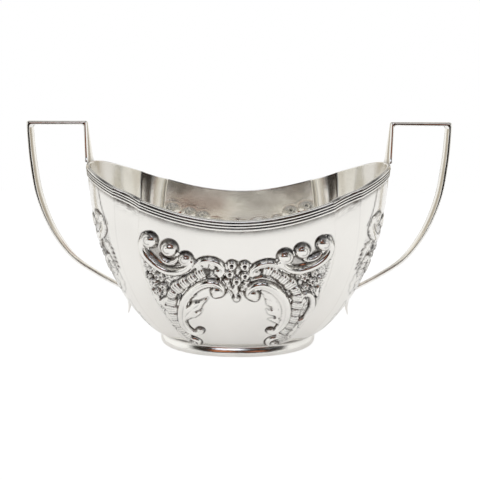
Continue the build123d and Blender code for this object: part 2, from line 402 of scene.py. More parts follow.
# chased ornament of a long side, across and up from the foot in millimetres
sideWork = {
    "ground": [(-34, 43), (-30, 39), (-23, 35.5), (-17, 37.5), (-13, 40), (-9, 41), (-5, 38.5), (-2, 40),
               (3, 40), (6, 39), (10, 41), (14, 40.5), (18, 37.5), (25, 36.5), (31, 39), (34, 43),
               (33, 37), (30.5, 28),
               (27.5, 19), (23, 9), (18.5, 2), (13, 0.8), (15, 5), (18, 9), (20, 15), (20, 21), (17.5, 27),
               (13, 32), (9, 34), (6, 33), (4.5, 30), (2, 27), (0, 25), (-3, 27.5), (-5, 30), (-6.5, 33),
               (-9, 34), (-13, 33), (-17.5, 29), (-21, 22), (-21.8, 15), (-20, 9), (-16, 4), (-13, 0.8),
               (-19, 1.5), (-23, 8), (-28, 19), (-31, 28), (-33.5, 37)],
    "groundDepth": 0.4,
    "groundGrain": 0.2,
    "pools": [([(-32.5, 44), (-30.6, 40.2), (-27, 37.2), (-22.8, 36), (-19, 37), (-16.5, 39.5), (-20.5, 42.5),
                (-25, 42), (-28, 45)], 0.8),
              ([(32.3, 43.6), (30.6, 40.6), (27, 38), (22.6, 37), (18.6, 37.8), (16, 40), (19.5, 42),
                (24, 41), (28, 44)], 0.8)],
    "shells": [
        ([(-13.5, 36.6), (-11.5, 38.3), (-9.3, 38.6), (-7.6, 37.2)], 1.9, 0.7, 2.3, 4),
        ([(14, 36.2), (12, 37.8), (9.8, 37.6), (8.2, 36.2)], 1.9, 0.7, 2.3, 4),
        ([(-11, 36), (-13.7, 34.6), (-16.5, 32.5), (-19.6, 30.2), (-22, 28), (-23.4, 25.3), (-23.7, 22),
          (-23.4, 18.5), (-22.6, 15), (-21.4, 11.7), (-19.8, 8.6), (-17.7, 5.3)], 2.4, 1.2, 3.4, 3),
        ([(9.2, 37), (11.6, 36.4), (14, 34.9), (16.8, 33), (19.4, 30.5), (21.3, 27.6), (22, 24.2),
          (21.6, 20.6), (20.8, 16.7), (19.4, 12.7), (17.3, 8.6), (15.2, 5.5)], 2.4, 1.2, 3.4, 3),
        ([(-3.6, 33.6), (-2.8, 30.8), (-1.4, 29)], 1.1, 0.5, 1.6, 2),
        ([(3.8, 33.2), (3, 30.6), (1.6, 29)], 1.1, 0.5, 1.6, 2),
    ],
    "blossoms": [(-29.6, 35.4, 1.7), (-26.8, 33, 2), (-29.6, 30.6, 1.7), (-26.2, 29.2, 1.6),
                 (-28.2, 26.6, 1.5), (-31.4, 32.8, 1.2), (-24, 34.2, 1.4), (23.8, 33.6, 1.9),
                 (26.8, 31.6, 1.9), (24.4, 29.6, 1.5),
                 (27.4, 34.8, 1.5), (29.4, 32.6, 1.3), (21.6, 35, 1.3), (27.2, 28.4, 1.2)],
    "bells": [(-1.6, 38.7, 1.7), (2.9, 38.5, 1.7), (-2.3, 35.5, 1.6), (3, 34.8, 1.6), (0.1, 32.6, 1.6)],
    "leaves": [
        ([(-19.4, 14.2), (-17.8, 18.2), (-15.2, 21.2), (-12.8, 23.2), (-10.2, 25.4)], 2.5, 1.1, 3),
        ([(-18.8, 21), (-18, 24), (-16.2, 26), (-14.4, 26.4)], 1.4, 0.9, 2),
        ([(-18.4, 15.4), (-16.2, 17.8), (-14, 18.6), (-12.4, 20.2)], 1.6, 0.9, 2),
        ([(9.4, 28.6), (13.2, 26), (15, 20.5), (15.4, 14.5)], 3.6, 0.45, 1),
        ([(9.6, 28.2), (12.4, 27.6), (14.8, 25), (16.2, 21.4)], 2.2, 0.55, 2),
        ([(16.8, 21.4), (14.2, 22.8), (12, 23.4), (10.4, 25)], 2.2, 0.5, 1),
        ([(17.2, 17), (14.8, 18.8), (12.4, 19.4), (10.8, 20.8)], 2.2, 0.5, 1),
        ([(17, 12.4), (15.2, 14.8), (13.2, 15.8), (11.6, 16.2)], 1.7, 0.45, 1),
        ([(0, 32), (-0.4, 29), (-0.1, 25.4)], 1.2, 0.9, 2),
        ([(-3.5, 36.8), (-5.4, 34.6), (-5.6, 32.2)], 1, 0.6, 2),
        ([(4.2, 36.6), (5, 35.2), (5.2, 33.4)], 0.9, 0.6, 2),
        ([(-24.8, 24.6), (-26.8, 22), (-25.6, 19)], 1.2, 0.7, 2),
        ([(-26, 18.4), (-24.8, 15.4), (-23.2, 12.6)], 1, 0.6, 2),
        ([(-30.5, 27), (-28.6, 23), (-27.4, 19.2)], 1.1, 0.6, 3),
        ([(29.4, 29), (28.8, 26.6), (29.6, 23.8)], 0.9, 0.5, 2),
        ([(22.6, 12.8), (21.4, 9.6), (18.6, 5.2)], 0.9, 0.5, 3),
        ([(-22.4, 9.8), (-20.6, 5.6), (-17.6, 2.6)], 0.9, 0.5, 3),
    ],
    "scrolls": [             # path, half width, height, heads, hollow, its side
        ([(-26.8, 41.4), (-25.6, 39.6), (-23.4, 38.7), (-21.4, 39.4), (-20, 41.2)],
         0.8, 0.7, (0.3, 0.6), 0.2, 1),
        ([(22.6, 41.2), (24.4, 40.2), (27.2, 40.6), (29.8, 42.6)], 0.8, 0.7, (0.6, 0.3), 0.2, 1),
        ([(-32, 48), (-33.2, 45), (-32.6, 42), (-30.4, 39.2), (-27, 36.6), (-23.2, 35.4), (-19.6, 35.8),
          (-16.8, 37.4), (-15.4, 39.6)], 1.35, 1.5, (0.8, 0.8), 0, 1),
        ([(31.8, 47.4), (32.8, 44.4), (31.8, 41.4), (28.8, 38.6), (25, 36.9), (21.4, 36.3), (18, 37.1),
          (15, 39.6)], 1.35, 1.5, (0.8, 0.8), 0, -1),
        ([(-15, 37.4), (-12.9, 39.4), (-9.9, 40.3), (-7.2, 39.8), (-5.2, 38.2), (-4.8, 36.4), (-5.8, 35)],
         1.25, 1.3, (0.5, 0.8), 0.3, -1),
        ([(15.6, 37.6), (12.9, 39.2), (9.8, 39.3), (7, 38.2), (5.4, 36.6), (5.6, 35.2)],
         1.25, 1.3, (0.5, 0.8), 0.3, 1),
        ([(-7.4, 27.2), (-5.4, 28), (-5.2, 29.8), (-6.8, 31.3), (-9.2, 31.8), (-11.8, 31.2), (-14.6, 29.3),
          (-16.9, 26.7), (-18.7, 23.6), (-19.7, 20), (-20, 16), (-19.4, 12.4), (-17.7, 9.8), (-15.4, 8.5),
          (-13.2, 9.2)], 1.55, 1.7, (0.8, 0.55), 0.35, 1),
        ([(6.6, 26), (4.6, 27.2), (4.6, 29), (6.3, 30.5), (8.8, 31.1), (11.6, 30.2), (14.2, 28.2),
          (16.4, 25.4), (17.7, 22), (17.9, 17.8), (17.1, 14.2), (15.4, 11.2), (13.4, 9.4), (12, 10)],
         1.8, 1.7, (0.75, 0.5), 0.3, -1),
        ([(22.8, 24.6), (24.6, 26.4), (26.7, 25.4), (27.6, 22), (26.8, 18), (25, 15.2), (22.6, 14)],
         0.95, 1, (0.8, 0.4), 0.3, -1),
        ([(-18.2, 5.4), (-16, 4.6), (-14.2, 3.2), (-14.8, 1), (-17, 1.2)], 0.8, 0.9, (0.6, 0.8), 0, 1),
        ([(16.4, 6), (13.6, 5.8), (11.6, 3.8), (12.4, 1.2), (15, 1.4)], 0.9, 0.9, (0.6, 0.8), 0, 1),
    ],
    "balls": [(-30.2, 46.8, 2.8, 2), (-23.3, 44.2, 3, 2.1), (-17.6, 40.6, 2.5, 1.8),
              (30.2, 45.9, 2.6, 1.9), (22.7, 43.6, 2.7, 1.9), (16.9, 41.7, 2.8, 1.9),
              (-6.8, 28.4, 2.2, 1.6), (6, 27.2, 2.2, 1.6), (-6.4, 36.2, 1.5, 1.1), (6.9, 36, 1.5, 1.1),
              (-13.4, 9.9, 1.4, 1), (12.4, 10.2, 1.4, 1), (24, 23.8, 1.2, 0.9),
              (0, 25.4, 1.1, 0.8), (-16, 2.2, 0.8, 0.7), (13.6, 3, 0.9, 0.8)],
    "lines": [([(16, 52.7), (23, 54.2), (30, 56.2)], 0.2, 0.03)],
    "dots": [([(-33.4, 40.4), (-32.6, 36.5), (-31.6, 32.5)], 0.9, 0.25, 0.25),
             ([(33.2, 40.4), (32.2, 36.5), (31.2, 32.5)], 0.9, 0.25, 0.25)],
}


def pairs(marks, turned=False):
    # each mark and then its mirror image; a mark on the middle line comes once
    both = []
    for place, *rest in marks:
        both.append((place, *rest))
        if turned:
            rest[-1] = -rest[-1]
        if not isinstance(place, list):
            mirrored = -place
        else:
            mirrored = [(-x, up) for x, up in place] if any(x for x, up in place) else 0
        if mirrored:
            both.append((mirrored, *rest))
    return both


# chased ornament of an end, the same hands with no cartouche: left marks, each followed by its right one
endWork = {
    "ground": [(-21, 50), (-16, 46), (-10, 44), (-5, 46), (0, 49), (5, 46), (10, 44), (16, 46), (21, 50),
               (21, 42), (19.5, 32), (17, 24), (12, 20), (6, 18), (0, 20), (-6, 18), (-12, 20), (-17, 24),
               (-19.5, 32), (-21, 42)],
    "groundDepth": 0.4,
    "groundGrain": 0.2,
    "pools": pairs([([(-18, 51), (-15, 47.6), (-10, 45.8), (-6, 47.6), (-9, 50), (-13, 50.6)], 0.7)]),
    "shells": pairs([
        ([(-14, 41), (-11, 43), (-7.6, 42.6), (-5, 40)], 1.8, 0.7, 2.6, 3),
        ([(-16.5, 38), (-17.2, 33), (-15.8, 28), (-12.6, 23.6)], 1.6, 0.8, 2.8, 3)]),
    "blossoms": pairs([
        (-12.5, 37.4, 1.5), (-9.4, 39.6, 1.3), (-4.6, 29, 1.3), (-18.8, 42.6, 1.2), (-13.6, 32.8, 1.2)]),
    "bells": pairs([(-2.6, 44.4, 1.7), (0, 40.8, 1.8), (-3.2, 36.6, 1.5)]),
    "leaves": pairs([
        ([(-2, 38.5), (-5.4, 36), (-8.6, 35.4)], 1.5, 0.8, 3),
        ([(0, 36), (0, 31), (0, 25)], 1.6, 1, 4),
        ([(-2, 26), (-5.4, 23.4), (-9.4, 22.8)], 1.3, 0.8, 3),
        ([(-17, 44.4), (-19.4, 40), (-19.4, 35)], 1.2, 0.7, 3),
        ([(-19, 31), (-17.6, 26.4), (-15.4, 22)], 1.2, 1.4, 3),
        ([(-15, 18.6), (-12.8, 14.6), (-11.2, 10.4)], 1.1, 1.6, 3),
        ([(-11.4, 10.2), (-9.8, 6.4), (-8, 3)], 0.9, 1.6, 3)]),
    "scrolls": pairs([
        ([(-19.4, 52.6), (-19.8, 49.4), (-17.4, 46.2), (-13.6, 44.2), (-9.4, 43.8), (-5.8, 45.4),
          (-4.2, 48)], 1.4, 1.3, (0.7, 0.6), 0.35, 1),
        ([(-7.8, 33.4), (-6, 31.6), (-7.6, 29.8), (-10.4, 30.8), (-12.4, 34), (-15, 36.6),
          (-18.2, 36)], 1.1, 1.1, (0.8, 0.5), 0.3, 1)], turned=True),
    "balls": pairs([
        (-17.2, 52.4, 2.4, 1.6), (-11.4, 50.6, 2.3, 1.5), (-6.2, 48.6, 2.2, 1.5),
        (0, 48.2, 1.6, 1.1), (-8, 32.4, 1.3, 1), (-3.2, 21.8, 1.4, 1)]),
    "lines": pairs([([(-20, 66), (-20.2, 61), (-21, 54.5), (-22, 50.5)], 0.28, 0.14)]),
    "dots": pairs([
        ([(-20.8, 41), (-20.2, 34)], 3.4, 0.6, 0.6),
        ([(-14.6, 13), (-11, 4.5)], 2.2, 0.45, 0.6)]),
}


def chase(field, work):
    matting(field, work["ground"], work["groundDepth"], work["groundGrain"])
    for tool, marks in ((pool, "pools"), (shellBand, "shells"), (blossom, "blossoms"), (leaf, "leaves"),
                        (scroll, "scrolls"), (bell, "bells"), (ball, "balls"), (line, "lines"),
                        (dots, "dots")):
        for mark in work[marks]:
            tool(field, *mark)


def softened(values, reach):
    # box blur over the grid, which closes on itself round the bowl
    total = np.zeros_like(values)
    for shift in range(-reach, reach + 1):
        total += np.roll(values, shift, axis=1)
    rows = np.pad(total / (2 * reach + 1), ((reach, reach), (0, 0)), mode="edge")
    return sum(rows[k:k + len(values)] for k in range(2 * reach + 1)) / (2 * reach + 1)


# where the chasing of an end fades out: (from, to) across, above and below the joint of the strap
endFade = {
    "beside": (4.0, 5.6),
    "above": (25.5, 27.5),
    "below": (13.5, 12.0),
    "height": (0.12, 0.28, 20, 36),      # share kept low down, what is added, and from where to where up
    "dark": (0.8, 0.2, 20, 34),
}


def fadeEnd(field):
    # the seat of the strap and its tail stays plain
    beside, up = np.abs(field["across"]), field["up"]
    seat = step(*endFade["beside"], beside) + step(*endFade["above"], up) + step(*endFade["below"], up)
    for name in ("height", "dark"):
        least, more, start, stop = endFade[name]
        field[name] *= (least + more * step(start, stop, up)) * np.clip(seat, 0, 1)


relief, dark = np.zeros(wallZ.shape), np.zeros(wallZ.shape)
for kind, sign, work in (("side", -1, sideWork), ("side", 1, sideWork),
                         ("end", 1, endWork), ("end", -1, endWork)):
    chosen = np.nonzero((kinds == kind) & ((signY if kind == "side" else signX) == sign))[0]
    across = (-sign * wallX if kind == "side" else sign * wallY)[:, chosen]
    field = {"across": across, "up": wallUp[:, chosen]}
    field.update(height=np.zeros(across.shape), dark=np.zeros(across.shape))
    chase(field, work)
    if kind == "end":
        fadeEnd(field)
    relief[:, chosen] = field["height"]
    dark[:, chosen] = field["dark"]
    print("chased", kind, sign)


# where the silver is darkened, by oxide left by polishing and by painted shade: strength, then distances in
# millimetres
tarnishAndShade = {
    "plainRim": (0, 3, 3.0),             # the wall stays plain under the rim wire
    "plainFoot": (0, 0.8),
    "hollow": (0.06, 0.4),               # painted shade in hollows: depth that starts to darken, and how much more is full
    # dark of the chasing: oxide in its lines and punches, with painted shade round the tops of the balls
    "chased": 1.1,
    # painted shade in a band under the rim wire
    "shadeUnderWire": (0.6, 3.7, 1.0),
    # painted shade at the bottom of the wall beside the foot
    "shadeBesideFoot": (0.5, 1.4),
    # painted shade along the creases of the flutes
    "shadeInCreases": (0.08, 0.02),
    "byFlute": (0.5, 38, 5.5, 4.6, 2.0), # along the bowl and down from the rim: place and reach
    "underRim": (0.14, 4.8, 1.2, 34, 24),
}


def nearTo(at, middle, reach):
    return np.exp(-((at - middle) / reach) ** 2)


def darkPlaces():
    # raised work faded to the rim and foot, and how much oxide and painted shade each point of the wall holds
    down, along = topUp - wallUp, np.abs(wallX)
    low, high, clear = tarnishAndShade["plainRim"]
    rimFade = step(low, high, topUp - clear - wallUp)
    worked = relief * (np.clip(rimFade, 0, 1) * step(*tarnishAndShade["plainFoot"], wallUp))
    start, span = tarnishAndShade["hollow"]
    # painted shade in the hollows: darker where the chasing lies below its blurred surroundings
    shadeInHollows = np.clip((softened(worked, 3) - worked - start) / span, 0, 1)
    # painted shade in a band under the rim wire
    strength, middle, reach = tarnishAndShade["shadeUnderWire"]
    total = np.maximum(tarnishAndShade["chased"] * dark, shadeInHollows) * rimFade + strength * nearTo(down, middle, reach)
    # painted shade at the bottom of the wall beside the foot
    strength, reach = tarnishAndShade["shadeBesideFoot"]
    total = total + strength * np.exp(-wallUp / reach)
    # painted shade along the creases of the flutes
    strength, wide = tarnishAndShade["shadeInCreases"]
    total = total + strength * ((kinds == "flute") & ((places < wide) | (places > 1 - wide)))
    speckle = np.sin(3.1 * wallX + 2.0 * np.sin(2.3 * wallZ))
    speckle = np.clip(0.35 + speckle * np.sin(4.3 * wallZ + 1.7 * np.sin(1.9 * wallX)), 0, 1)
    # darker speckled patches under the rim by the flutes, and a darker band under the rim towards the ends
    strength, middle, reach, drop, deep = tarnishAndShade["byFlute"]
    darkerUnderRim = strength * (nearTo(along, middle, reach) * nearTo(down, drop, deep)) * speckle
    strength, drop, deep, none, full = tarnishAndShade["underRim"]
    darkerUnderRim = darkerUnderRim + strength * nearTo(down, drop, deep) * step(none, full, along)
    return worked, np.clip(total + darkerUnderRim, 0, 1)


relief, oxideAndShade = darkPlaces()
print("tarnish laid")


# helpers for making node trees
def feed(tree, socket, value):
    # another node's output is linked to a socket, a number or colour is set on it
    if isinstance(value, bpy.types.NodeSocket):
        tree.links.new(value, socket)
    else:
        socket.default_value = value


def nodeOf(tree, kind, sockets=None, **settings):
    node = tree.nodes.new(kind)
    for name, value in settings.items():
        setattr(node, name, value)
    for name, value in (sockets or {}).items():
        feed(tree, node.inputs[name], value)
    return node


def effect(name, inputs, outputs):
    # empty node group with named values going in and coming out
    group = bpy.data.node_groups.new(name, "ShaderNodeTree")
    for label, value in inputs.items():
        socket = group.interface.new_socket(name=label, in_out="INPUT", socket_type="NodeSocketFloat")
        socket.default_value = value
    for label in outputs:
        group.interface.new_socket(name=label, in_out="OUTPUT", socket_type="NodeSocketFloat")
    return group, nodeOf(group, "NodeGroupInput").outputs, nodeOf(group, "NodeGroupOutput").inputs


def maths(tree, operation, first, second=0.0):
    return nodeOf(tree, "ShaderNodeMath", {0: first, 1: second}, operation=operation).outputs[0]


def noise(tree, scale, detail, rough=0.5, stretch=(1, 1, 1)):
    # noise over the piece in millimetres, stretched along an axis for drawn marks
    place = nodeOf(tree, "ShaderNodeTexCoord").outputs["Object"]
    turn = nodeOf(tree, "ShaderNodeMapping", {"Vector": place, "Scale": [s / mm for s in stretch]})
    return nodeOf(tree, "ShaderNodeTexNoise", {"Vector": turn.outputs["Vector"], "Scale": scale,
                                               "Detail": detail, "Roughness": rough}).outputs["Fac"]


def spread(tree, value, low, high, toLow, toHigh):
    return nodeOf(tree, "ShaderNodeMapRange", {"Value": value, "From Min": low, "From Max": high,
                                               "To Min": toLow, "To Max": toHigh}).outputs["Result"]


def mixed(tree, share, first, second):
    return nodeOf(tree, "ShaderNodeMix", {"Factor": share, "A": first, "B": second},
                  data_type="RGBA").outputs["Result"]


# hand polish: soft planishing, wheel marks and fine scratches
def polishGroup():
    tree, start, end = effect("handPolish", {"Planish": 1.0, "Scratches": 1.0}, ["Height", "Marks"])
    broad = noise(tree, 0.11, 1)
    marks = noise(tree, 0.9, 3, 0.6, (1, 1, 6))
    fine = noise(tree, 1.6, 4, 0.7, (5, 5, 1))
    rub = maths(tree, "MULTIPLY", maths(tree, "ADD", marks, fine), start["Scratches"])
    rub = maths(tree, "MULTIPLY", rub, 0.02)
    feed(tree, end["Height"], maths(tree, "ADD", maths(tree, "MULTIPLY", broad, start["Planish"]), rub))
    feed(tree, end["Marks"], spread(tree, maths(tree, "MULTIPLY", marks, fine), 0.1, 0.45, 0, 1))
    return tree


# oxide left in the recesses and painted shade, read from one attribute, rubbed off the high places
def oxideAndShadeGroup():
    tree, start, end = effect("oxideAndShadeTree", {"OxideShade": 0.0, "Amount": 1.0, "Bloom": 0.1}, ["Mask", "Warmth"])
    bite = spread(tree, noise(tree, 0.35, 4, 0.6), 0.3, 0.7, 0.75, 1.15)
    deep = maths(tree, "MULTIPLY", maths(tree, "MULTIPLY", start["OxideShade"], bite), start["Amount"])
    film = maths(tree, "MULTIPLY", spread(tree, noise(tree, 0.05, 3), 0.42, 0.7, 0, 1), start["Bloom"])
    total = maths(tree, "ADD", deep, film)
    total.node.use_clamp = True
    feed(tree, end["Mask"], total)
    feed(tree, end["Warmth"], spread(tree, noise(tree, 0.2, 2), 0.35, 0.65, 0, 1))
    return tree


polish, oxideAndShadeTree = polishGroup(), oxideAndShadeGroup()

# the finish of each part, all sterling silver with the same oxide and painted shade
finishes = {
    "silverColour": (0.92, 0.905, 0.865, 1),
    "oxideAndShadeCool": (0.018, 0.018, 0.02, 1),
    "oxideAndShadeWarm": (0.06, 0.038, 0.022, 1),
    "marksRough": 0.07,      # how much duller the wheel marks and the oxide and painted shade are
    "oxideAndShadeRough": 0.3,
    # roughness, planishing, scratches, oxide and painted shade, bloom and bump in millimetres
    "chasedSilver": (0.1, 0.25, 1.0, 1.0, 0.04, 0.5),
    "wireSilver": (0.09, 0.2, 1.0, 1.0, 0.08, 0.3),
    "footSilver": (0.1, 0.5, 1.2, 0.9, 0.12, 0.4),
    "handleSilver": (0.09, 0.3, 1.2, 0.8, 0.08, 0.3),
}


def silver(name):
    roughness, planish, scratches, amount, bloom, bump = finishes[name]
    material = bpy.data.materials.new(name)
    material.use_nodes = True
    tree = material.node_tree
    shader = tree.nodes["Principled BSDF"].inputs
    finish = nodeOf(tree, "ShaderNodeGroup", node_tree=polish)
    feed(tree, finish.inputs["Planish"], planish)
    feed(tree, finish.inputs["Scratches"], scratches)
    # the attribute holds oxide in the chasing and painted shade under the rim wire, beside the foot, in
    # creases, hollows and joints and on the tops of reeds and balls; it darkens the base colour
    hollow = nodeOf(tree, "ShaderNodeAttribute", attribute_name="oxideAndShade")
    stainAndShade = nodeOf(tree, "ShaderNodeGroup", node_tree=oxideAndShadeTree)
    for label, value in (("OxideShade", hollow.outputs["Fac"]), ("Amount", amount), ("Bloom", bloom)):
        feed(tree, stainAndShade.inputs[label], value)
    tint = mixed(tree, stainAndShade.outputs["Warmth"], finishes["oxideAndShadeCool"], finishes["oxideAndShadeWarm"])
    worn = maths(tree, "MULTIPLY", finish.outputs["Marks"], finishes["marksRough"])
    dull = maths(tree, "MULTIPLY", stainAndShade.outputs["Mask"], finishes["oxideAndShadeRough"])
    rough = maths(tree, "ADD", maths(tree, "ADD", worn, dull), roughness)
    relieved = nodeOf(tree, "ShaderNodeBump", {"Strength": 1.0, "Distance": bump * mm,
                                               "Height": finish.outputs["Height"]})
    feed(tree, shader["Metallic"], 1.0)
    feed(tree, shader["Base Color"], mixed(tree, stainAndShade.outputs["Mask"], finishes["silverColour"], tint))
    feed(tree, shader["Roughness"], rough)
    feed(tree, shader["Normal"], relieved.outputs["Normal"])
    return material


bowlSilver, wireSilver, footSilver, handleSilver = (
    silver(name) for name in ("chasedSilver", "wireSilver", "footSilver", "handleSilver"))


def makePiece(name, points, faces, oxideAndShadeValues, material, nodes, sharp=50):
    mesh = bpy.data.meshes.new(name)
    mesh.from_pydata((np.asarray(points) * mm).tolist(), [], faces)
    mesh.polygons.foreach_set("use_smooth", [True] * len(mesh.polygons))
    if sharp:
        mesh.set_sharp_from_angle(angle=radians(sharp))
    # oxide and painted shade for each point
    layer = mesh.attributes.new("oxideAndShade", "FLOAT", "POINT")
    layer.data.foreach_set("value", np.asarray(oxideAndShadeValues, np.float32))
    mesh.materials.append(material)
    mesh.validate()
    mesh.update()
    piece = bpy.data.objects.new(name, mesh)
    bpy.context.scene.collection.objects.link(piece)
    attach(piece, "root")
    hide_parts(*nodes)
    return piece


def band(low, high, count, flip=False):
    # faces between two closed rows of points, from the index each row starts at
    faces = [(low + k, low + (k + 1) % count, high + (k + 1) % count, high + k) for k in range(count)]
    return [face[::-1] for face in faces] if flip else faces


def gridFaces(rows, columns, start=0, flip=False):
    starts = range(start, start + (rows - 1) * columns, columns)
    return [face for low in starts for face in band(low, low + columns, columns, flip)]


def endCaps(rows, around):
    # the two faces that close a swept section
    return [tuple(range(around)), tuple(range((rows - 1) * around, rows * around))[::-1]]


# the raised bowl: chased outside, softer inside, with its floor
def makeBowl():
    outer = wallPoint + wallNormal * relief[..., None]
    push = bowl["pushed"] * softened(relief, 4)[::2, ::2] - bowl["thickness"]
    inner = wallPoint[::2, ::2] + wallNormal[::2, ::2] * push[..., None]
    edge = wallPoint[-1:] - wallNormal[-1:] * bowl["thickness"]
    inner = np.concatenate([inner, edge[:, ::2]])
    inner[-1, :, 2] = outer[-1, ::2, 2]
    insideFloor = bowl["floor"] + bowl["thickness"]
    inner[..., 2] = np.maximum(inner[..., 2], insideFloor + 0.02 * np.arange(len(inner))[:, None])
    rows, half = len(inner), inner.shape[1]
    points = [outer.reshape(-1, 3), inner.reshape(-1, 3)]
    faces = gridFaces(bowl["rows"], columnCount)
    firstInner = bowl["rows"] * columnCount
    faces += gridFaces(rows, half, firstInner, flip=True)
    lastOuter, lastInner = (bowl["rows"] - 1) * columnCount, firstInner + (rows - 1) * half
    for k in range(half):                            # top edge, two outer columns to one inner
        a, b, c = (lastOuter + (2 * k + n) % columnCount for n in range(3))
        d, e = lastInner + k, lastInner + (k + 1) % half
        faces += [(a, b, d), (b, c, e, d)]
    total = firstInner + rows * half
    rings = np.linspace(*bowl["floorRings"])
    for ring, flat, previous, flip in ((outer[0], bowl["floor"], 0, False),
                                       (inner[0], insideFloor, firstInner, True)):
        count = len(ring)
        floor = np.stack([ring * (s, s, 0) + (0, 0, flat) for s in rings])
        points += [floor.reshape(-1, 3), np.array([[0, 0, flat]])]
        for start in range(total, total + len(rings) * count, count):
            faces += band(previous, start, count, flip)
            previous = start
        total += len(rings) * count                  # the middle point of the floor
        fan = [(previous + k, previous + (k + 1) % count, total) for k in range(count)]
        faces += [face[::-1] for face in fan] if flip else fan
        total += 1
    points = np.concatenate(points)
    values = np.zeros(len(points))
    values[:firstInner] = oxideAndShade.reshape(-1)
    return makePiece("bowl_wall", points, faces, values, bowlSilver, ["body_shell"], None)


makeBowl()
print("bowl made")


# reeded rim wire, laid round the outside of the edge in two halves
reeds = {
    "centres": [1.18, 2.18, 3.24],
    "radii": [0.3, 0.3, 0.42],
    "standOff": [0.8, 0.66, 0.44],
    "swell": [0.17, 0.17, 0.34],
    "steps": 11,
    "endThin": 0.6,          # how much flatter the wire is under the handles
    # outward and downward places, and how much painted shade each one has: the top edge and the closing foot
    "edge": [(-0.1, 0.02, 0), (0.2, 0, 0), (0.55, 0.14, 0), (0.8, 0.34, 0), (0.84, 0.46, 0),
             (0.72, 0.58, 1)],
    "closing": [(0.3, 3.8, 0.7), (-0.1, 3.8, 0.6)],
}


def reedProfile():
    # the section of the wire, as rows like those of its edge
    rows = list(reeds["edge"])
    for number, centre in enumerate(reeds["centres"]):
        radius, standOff, swell = (reeds[name][number] for name in ("radii", "standOff", "swell"))
        # painted shade: full in the grooves between the reeds, and fading down from the top of each reed
        rows.append((standOff - 0.08, centre - radius - 0.05, 1.0))
        for k in range(reeds["steps"]):
            share = (k + 0.3) / (reeds["steps"] - 0.4)
            drop = centre - radius * cos(pi * share)
            rows.append((standOff + swell * sin(pi * share**0.7), drop, max(cos(pi * share), 0) ** 4))
        rows.append((standOff - 0.1, centre + radius + 0.05, 1.0))
    return rows + reeds["closing"]


def makeRimWires():
    profile = reedProfile()
    around = len(profile)
    rings, paintedShade = [], []
    # hollow here is the painted shade of each row
    for outward, drop, hollow in profile:
        z = rimTop(drop)
        x, y = planPoints(z)
        aheadX, aheadY = np.roll(x, -1) - np.roll(x, 1), np.roll(y, -1) - np.roll(y, 1)
        thinner = reeds["endThin"] * (np.abs(x) / bowl["profile"][-1][1]) ** 8
        stand = outward * (1 - thinner) / np.hypot(aheadX, aheadY)
        rings.append(np.stack([x + stand * aheadY, y - stand * aheadX, z], axis=1))
        paintedShade.append(np.full(columnCount, hollow))
    rings, paintedShade = np.array(rings), np.array(paintedShade)
    right, left = (np.nonzero((kinds == "end") & (signX == sign))[0][bowl["endColumns"] // 2]
                   for sign in (1, -1))
    front = np.concatenate([np.arange(left, columnCount), np.arange(0, right + 1)])
    for name, chosen in (("rim_wire_front", front), ("rim_wire_back", np.arange(right, left + 1))):
        part = rings[:, chosen].transpose(1, 0, 2)
        faces = gridFaces(len(chosen), around, flip=True)
        faces += endCaps(len(chosen), around)
        makePiece("reeded_" + name, part.reshape(-1, 3), faces, paintedShade[:, chosen].T.reshape(-1), wireSilver,
                  [name])


makeRimWires()


# foot: the plain edge wire and the coved collet over it, as inset and height of each point
foot = {
    "wire": [(1.9, 0), (0.75, 0), (0.3, 0.25), (0.08, 0.7), (0, 1.2), (0.03, 1.6), (0.12, 2),
             (0.17, 2.2), (1.9, 2.2)],
    "collet": [(1.35, 2.2), (0.17, 2.2), (0.32, 2.6), (0.52, 3), (0.76, 3.4), (0.92, 3.7), (0.95, 3.95),
               (0.82, 4.25), (0.5, 4.55), (0.2, 4.75), (0.25, 4.8), (1.15, 4.8), (1.85, 3.6)],
    # painted shade for each row of the profiles: at the bottom against the table, at the joints of wire,
    # collet and wall, darkest in the upper cove under the wall
    "wirePaintedShade": [0.3, 0.2, 0.05, 0, 0, 0, 0, 0, 0.4],
    "colletPaintedShade": [0.4, 0, 0, 0, 0.03, 0.1, 0.2, 0.25, 0.35, 0.6, 0.9, 0.6, 0.4],
    "columns": 240,
}


def makeFootRing(name, node, profile, paintedShade):
    turns = np.linspace(0, 2 * pi, foot["columns"], endpoint=False)
    bend = 2 / bowl["squareness"]
    shapeX, shapeY = (np.sign(part) * np.abs(part) ** bend for part in (np.cos(turns), np.sin(turns)))
    points = np.array([np.stack([(bowl["footLength"] - inset) * shapeX, (bowl["footWidth"] - inset) * shapeY,
                                 np.full(len(turns), z)], axis=1) for inset, z in profile])
    faces = gridFaces(len(profile), len(turns))
    last = (len(profile) - 1) * len(turns)
    faces += band(last, 0, len(turns))
    values = np.repeat(paintedShade, len(turns))
    return makePiece(name, points.reshape(-1, 3), faces, values, footSilver, [node])


makeFootRing("foot_moulding", "foot_wire", foot["wire"], foot["wirePaintedShade"])
makeFootRing("foot_cove", "foot_collet", foot["collet"], foot["colletPaintedShade"])
print("rim and foot made")


